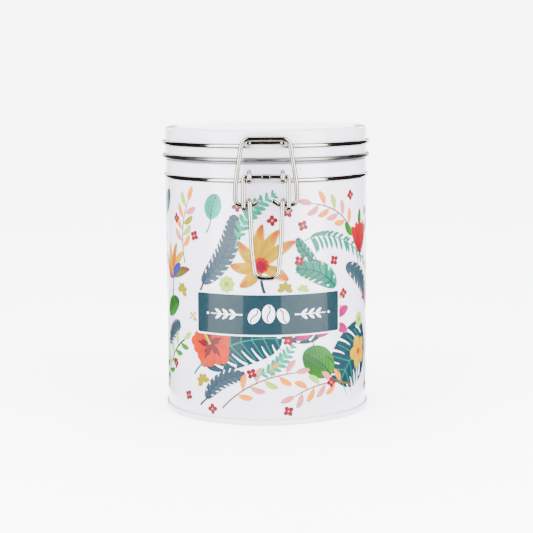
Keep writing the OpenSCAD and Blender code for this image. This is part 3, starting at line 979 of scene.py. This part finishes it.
def blossom(plate):
    """Flowers of one repeat of the pattern: a lily, a lantern flower, a heart of petals, a
    hibiscus, some plain blossoms and many florets."""
    plate.lift = 3
    lily = np.array((-3.0, 82.0))
    stem(plate, (0, 66), lily, 1.2, "deep_teal", 0.06, 2)
    for tip in ((-2, 104), (6.5, 101), (15, 95), (-14, 95), (-19, 83), (-14, 72), (11, 75)):
        leaf(plate, lily, tip, 6.0, "orange", "yellow", 0.07, 3, 1.2, 0.8)
        leaf(plate, lily + 0.62 * (tip - lily), np.add(tip, (0.3, 0.2)), 2.6, "orange", "red", 0.12,
             4, 1.2)
    for row, count, ink, layer in ((0.0, 1, "crimson", 6), (1.7, 6, "crimson", 6),
                                   (3.1, 10, "red", 5)):
        for angle in 2 * math.pi * np.arange(count) / count + row:
            dot(plate, away(lily, angle, row) + [0, 0.35 * row], 1.25, ink, layer)
    lantern = (62.0, 86.0)
    stem(plate, (58, 74), lantern, 0.7, "green_deep", 0.05, 2)
    for lean in (-34, -17, 0, 17, 34):
        leaf(plate, lantern, away(lantern, math.radians(90 - lean), 17), 6.4, "crimson", "red",
             0.04 * lean / 34, 3, 1.3, 0.85)
    for lean in (-42, 0, 42):
        foot, head = (away(lantern, math.radians(90 - lean), reach) for reach in (13, 23))
        leaf(plate, foot, head, 4.2, "green", "green_deep", 0.05, 2, 1.4, 0.8)
    heart = (-62.0, 73.0)
    stem(plate, (-66, 57), heart, 1.0, "green_deep", -0.08, 2)
    leaf(plate, heart, (-45, 79), 5.0, "green", "crimson", 0.05, 2, 1.5, 0.8)
    for tip, ink, end_ink in (((-50, 88), "orange", "yellow"), ((-57, 92), "red", "orange"),
                              ((-66, 91), "orange", "yellow"), ((-74, 85), "red", "orange"),
                              ((-53, 81), "violet", "violet"), ((-70, 78), "violet", "violet")):
        leaf(plate, heart, tip, 4.6, ink, end_ink, 0.08, 3, 1.5, 0.86)
    hibiscus, first = (-31.0, 41.0), 1.75
    for spread, reach in ((-0.36, 11.5), (0.36, 11.8), (0.0, 13.2)):
        flower(plate, hibiscus, reach, 5, 7.4, "red", "coral", first + spread, point=0.9, side=0.88)
    for angle in first + 2 * math.pi * np.arange(5) / 5:
        for spread, reach in ((-0.22, 6.0), (0.0, 8.5), (0.22, 6.0)):
            leaf(plate, hibiscus, away(hibiscus, angle + spread, reach), 1.7, "maroon", None, 0.05,
                 5, 1.3)
    dot(plate, hibiscus, 2.4, "maroon", 6)
    stem(plate, hibiscus, (-43, 55), 1.0, "yellow", -0.06, 7)
    for place in ((-43, 55), (-44.5, 53.6), (-41.4, 56.2), (-42, 53), (-44, 56)):
        dot(plate, place, 0.75, "yellow", 8)
    flower(plate, (60, 33), 9.0, 5, 7.2, "orange", "yellow", 0.6, middle="red")
    for start, end in (((41, 54), (49, 58)), ((39, 49), (48, 45)), ((15, 44), (24, 47)),
                       ((27, 45), (36, 48))):
        leaf(plate, start, end, 5.0, "magenta", "pink", 0.1, 3, 1.2, 0.9)
    stem(plate, (26, 37), (25, 45), 0.5, "green_deep", 0.1, 2)
    flower(plate, (-8, 55), 8.0, 6, 5.4, "magenta", "pink", 0.3, middle="yellow")
    for centre in ((-15, 113), (3, 106), (11, 110), (19, 103), (17, 85), (51, 117), (45, 66),
                   (11, 44), (-8, 27), (-47, 12), (-30, 7), (11, 7), (73, 12), (-57, 105),
                   (-41, 97), (38, 84), (72, 107), (-60, 27), (36, 20), (68, 62), (87, 120),
                   (80, 68), (92, 93)):
        flower(plate, centre, 2.9, 4, 0.82 * 2.9, "crimson", "crimson", centre[0] % 1.5, 3, 0.95,
               "yellow", 0.2, 0.85)


# Layers of the label and its ornament, which stand over every motif
BORDER_LAYER, BAND_LAYER, ORNAMENT_LAYER = 13, 14, 16


def label_strip(low, high, half_s, centre_s, ink, layer, corner):
    """A plate with a band between two heights, its ends rounded by a small corner."""
    turn = np.radians(np.linspace(0, 90, 6))
    edge, drop = corner * (1 - np.cos(turn)), corner * (1 - np.sin(turn))
    left, right = centre_s - half_s, centre_s + half_s
    s = np.concatenate([left + edge, np.linspace(left + corner, right - corner, 80)[1:-1],
                        (right - edge)[::-1]])
    half = (high - low) / 2 - np.concatenate([drop, np.zeros(78), drop[::-1]])
    plate = Plate()
    plate.strip(np.stack([s, np.full(len(s), (low + high) / 2)], axis=1), half, ink, ink, layer)
    return plate


def bean(plate, centre, length, width, angle):
    """A coffee bean: an oval split by an S-shaped line."""
    ends = away(centre, angle, -length / 2), away(centre, angle, length / 2)
    leaf(plate, *ends, width, "white", layer=ORNAMENT_LAYER, point=1.0)
    share = np.linspace(0, 1, 16)[:, None]
    along = ends[1] - ends[0]
    side = np.array([-along[1], along[0]]) * 0.085
    path = ends[0] + along * (0.04 + 0.92 * share) + side * np.sin(2 * np.pi * share)
    label = np.array(bpy.context.scene.tin_colours.label)
    plate.strip(path, np.full(16, 0.32), label, label, ORNAMENT_LAYER + 1)


class TIN_OT_pattern(bpy.types.Operator):
    """Print the leaves and flowers round the wall"""

    bl_idname = "tin.pattern"
    bl_label = "Printed pattern"

    def execute(self, context):
        repeats = context.scene.tin_print.repeats
        varnished = ink_material("printed_ink")
        for name, motif in (("printed_leaves", foliage), ("printed_flowers", blossom)):
            for number in range(repeats):
                plate = Plate()
                plate.shift = number * 2 * math.pi * TIN_R / repeats
                motif(plate)
                piece = f"{name}_{'front' if number == 0 else 'back'}"
                add_piece(piece, plate.mesh(piece), varnished, "tin")
        return {"FINISHED"}


class TIN_OT_label(bpy.types.Operator):
    """Print the label band with its border and its bean ornament"""

    bl_idname = "tin.label"
    bl_label = "Label band"

    def execute(self, context):
        settings, colours = context.scene.tin_print, context.scene.tin_colours
        low, high, border = settings.label_low / MM, settings.label_high / MM, settings.border / MM
        half_s, centre_s = TIN_R * settings.label_half, TIN_R * settings.label_turn
        white = np.array(colours.enamel)
        edge = label_strip(low - border, high + border, half_s + border, centre_s, white,
                           BORDER_LAYER, 1.6)
        band = label_strip(low, high, half_s, centre_s, white, BAND_LAYER, 1.0)
        ornament, middle = Plate(), (low + high) / 2
        for across, up, length, width, angle in ((-7.4, -0.6, 8.4, 5.8, 62),
                                                 (7.4, -0.6, 8.4, 5.8, 118),
                                                 (0.0, 0.6, 9.6, 6.6, 90)):
            bean(ornament, (centre_s + across, middle + up), length, width, math.radians(angle))
        for side in (-1, 1):
            stem(ornament, (centre_s + side * 13.5, middle), (centre_s + side * 31, middle), 0.5,
                 "white", 0, ORNAMENT_LAYER)
            dot(ornament, (centre_s + side * 33, middle), 0.7, "white", ORNAMENT_LAYER)
            for step in (17, 21, 25):
                for rise in (2.6, -2.6):
                    leaf(ornament, (centre_s + side * step, middle),
                         (centre_s + side * (step + 3.4), middle + rise), 1.5, "white",
                         layer=ORNAMENT_LAYER, point=1.2)
        for name, plate, finish in (
                ("label_border", edge, label_material("label_border_ink", colours.enamel)),
                ("label_band", band, label_material("label_ink", colours.label)),
                ("label_beans", ornament, ink_material("label_white"))):
            add_piece(name, plate.mesh(name), finish, "tin")
        return {"FINISHED"}


# ---- Stage ------------------------------------------------------------------------------------


def aim(place, target):
    """A matrix at a place whose -Z axis looks at a target."""
    return Matrix.Translation(place) @ (Vector(target) - Vector(place)).to_track_quat(
        "-Z", "Y").to_matrix().to_4x4()


def softbox(name, place, target, width, height, power, colour=(1, 1, 1)):
    """A rectangular area light that the camera doesn't see but the metal does."""
    lamp = bpy.data.lights.new(name, "AREA")
    lamp.shape = "RECTANGLE"
    lamp.size, lamp.size_y, lamp.energy, lamp.color = width, height, power, colour
    box = bpy.data.objects.new(name, lamp)
    box.matrix_world = aim(place, target)
    box.visible_camera = False
    bpy.context.scene.collection.objects.link(box)


# Angles between which each dark card stands, in degrees round from the front
CARD_SECTORS = ((-25, 15), (68, 150), (160, 172), (188, 200), (210, 295))

# Sections (r, z) of the cards, in millimetres: along the floor and up, a band of floor near the
# tin, and a band above that closes in over it
CARD_WALL = ((75, 1), (620, 1), (620, 1000))
CARD_NEAR = ((75, 1), (205, 1), (205, 1.5))
CARD_ABOVE = ((620, 520), (620, 1000), (200, 1000))
CARD_STATIONS = 16


def card_ring(name):
    """Dark cards round the tin, for the metal and the gloss to reflect. Each carries its section
    between two angles about the axis."""
    bands = [(*sector, CARD_WALL) for sector in CARD_SECTORS]
    bands += [(start, start + 90, section) for section in (CARD_NEAR, CARD_ABOVE)
              for start in range(0, 360, 90)]
    starts, ends = (np.array([band[i] for band in bands], float) for i in (0, 1))
    turn = np.radians(np.linspace(starts, ends, CARD_STATIONS, axis=1))[:, :, None]
    r, z = np.moveaxis(np.array([band[2] for band in bands], float)[:, None], -1, 0)
    first = np.arange(len(bands))[:, None, None] * CARD_STATIONS * len(CARD_WALL)
    return plain_mesh(name, round_axis(r, z, turn), grid_faces(CARD_STATIONS, 3)[None] + first)


class TIN_OT_stage(bpy.types.Operator):
    """Set the floor, the lights and the camera"""

    bl_idname = "tin.stage"
    bl_label = "Floor, lights and camera"

    def execute(self, context):
        settings = context.scene.tin_stage
        bowl = np.concatenate([[(0, 0), (500, 0), (1000, 0)],
                               arc((1500, 2000), 2000, -90, -15, 40)])
        floor = plain_mesh("studio_floor", *turned(bowl, 96, False))
        floor.shade_smooth()
        add_piece("studio_floor", floor,
                           floor_material("studio_paper", context.scene.tin_colours.floor))
        cards = add_piece("dark_cards", card_ring("dark_cards"), card_material("black_card"))
        cards.visible_camera = cards.visible_shadow = cards.visible_diffuse = False
        middle = (0, 0, 0.08)
        softbox("softbox_left", (-0.36, -0.36, 0.30), middle, 0.34, 0.62, settings.key)
        softbox("softbox_right", (0.40, -0.32, 0.30), middle, 0.30, 0.62, settings.key,
                (1.0, 0.985, 0.96))
        softbox("top_light", (0, 0.05, 0.95), (0, 0, 0), 0.9, 0.9, settings.top)
        world = bpy.data.worlds.new("studio_light")
        world.use_nodes = True
        light = world.node_tree.nodes["Background"].inputs
        light["Color"].default_value = (1, 1, 1, 1)
        light["Strength"].default_value = settings.room
        context.scene.world = world
        lens = bpy.data.cameras.new("camera")
        lens.lens, lens.sensor_width = settings.lens, 36
        camera = bpy.data.objects.new("camera", lens)
        camera.matrix_world = Matrix.Translation((0, -settings.distance, settings.height)) \
            @ Matrix.Rotation(math.pi / 2 - settings.pitch, 4, "X") \
            @ Matrix.Rotation(settings.roll, 4, "Z")
        context.scene.collection.objects.link(camera)
        context.scene.camera = camera
        return {"FINISHED"}


# ---- Panel and registration -------------------------------------------------------------------

OPERATORS = (TIN_OT_enamel, TIN_OT_rim_and_seal, TIN_OT_wires, TIN_OT_pattern, TIN_OT_label,
             TIN_OT_stage)


class TIN_PT_panel(bpy.types.Panel):
    """Sizes, colours and steps of the tin"""

    bl_idname = "TIN_PT_panel"
    bl_label = "Clip-top tin"
    bl_space_type = "VIEW_3D"
    bl_region_type = "UI"
    bl_category = "Tin"

    def draw(self, context):
        for settings in (context.scene.tin_wire, context.scene.tin_print,
                         context.scene.tin_colours, context.scene.tin_stage):
            box = self.layout.box()
            for name in settings.__annotations__:
                box.prop(settings, name)
        for operator in OPERATORS:
            self.layout.operator(operator.bl_idname)


SETTINGS = {"tin_wire": TinWireSettings, "tin_print": TinPrintSettings,
            "tin_colours": TinColours, "tin_stage": TinStageSettings}
CLASSES = (*SETTINGS.values(), *OPERATORS, TIN_PT_panel)


def register():
    for cls in CLASSES:
        bpy.utils.register_class(cls)
    for name, cls in SETTINGS.items():
        setattr(bpy.types.Scene, name, PointerProperty(type=cls))


def unregister():
    for name in SETTINGS:
        delattr(bpy.types.Scene, name)
    for cls in reversed(CLASSES):
        bpy.utils.unregister_class(cls)


def main():
    register()
    bpy.ops.tin.enamel()
    bpy.ops.tin.rim_and_seal()
    bpy.ops.tin.wires()
    bpy.ops.tin.pattern()
    bpy.ops.tin.label()
    bpy.ops.tin.stage()


if __name__ == "__main__":
    main()
